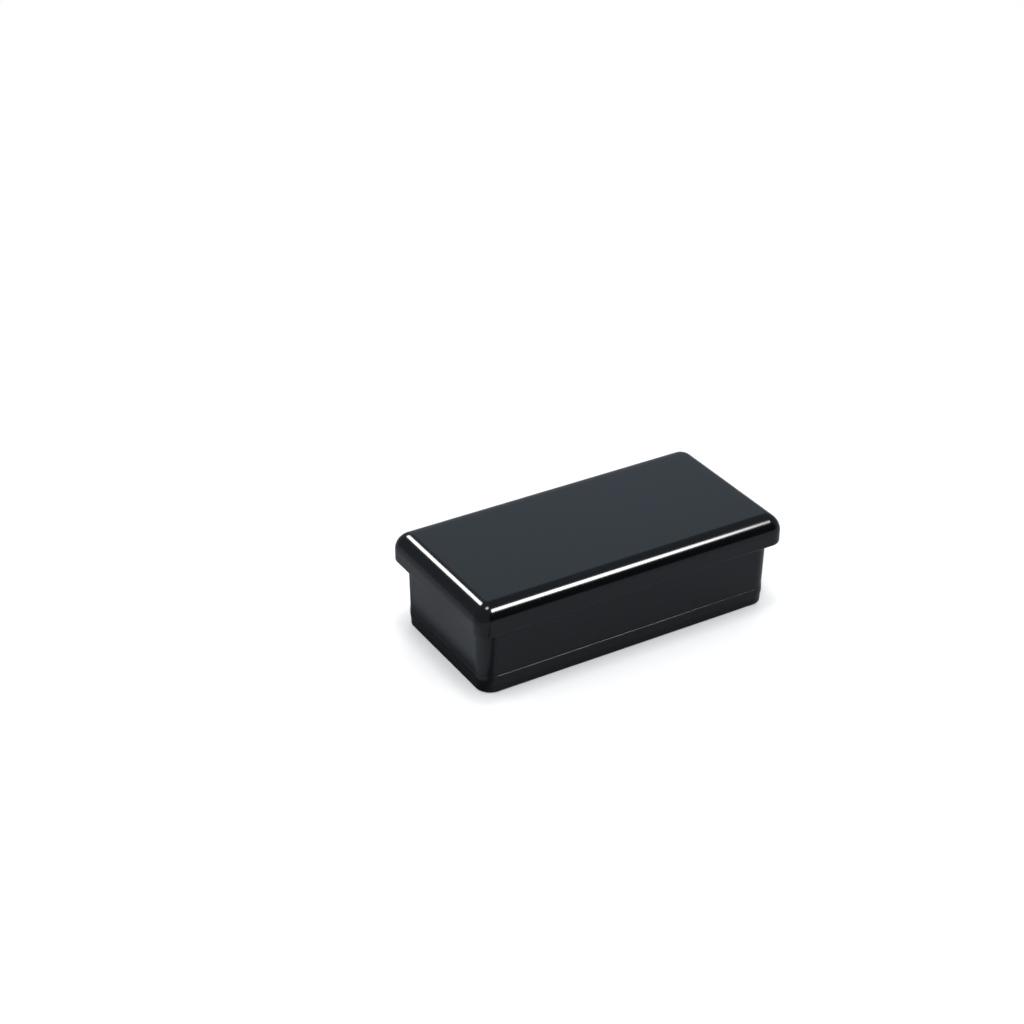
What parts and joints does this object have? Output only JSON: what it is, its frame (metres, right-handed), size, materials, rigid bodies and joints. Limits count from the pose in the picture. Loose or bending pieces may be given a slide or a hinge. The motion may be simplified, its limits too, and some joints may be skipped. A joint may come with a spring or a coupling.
{
  "type": "rectangular tube end cap",
  "caption": "Push-in end cap for rectangular tube: a thick head with rounded top edges over a hollow, slightly tapered skirt with a low grip bead, moulded in glossy black plastic",
  "frame": {"origin": "centre of the skirt's rim plane, which is the plane the cap stands on", "axes": "+X along the long side of the head, +Y along its short side, +Z out of the tube, towards the outer face of the head"},
  "size_m": [0.06, 0.03, 0.0174],
  "materials": {
    "cap_plastic": "polished moulding, deep black, fine handling scuffs"
  },
  "bodies": {
    "root": {"end_cap": "cap_plastic"}
  },
  "joints": []
}
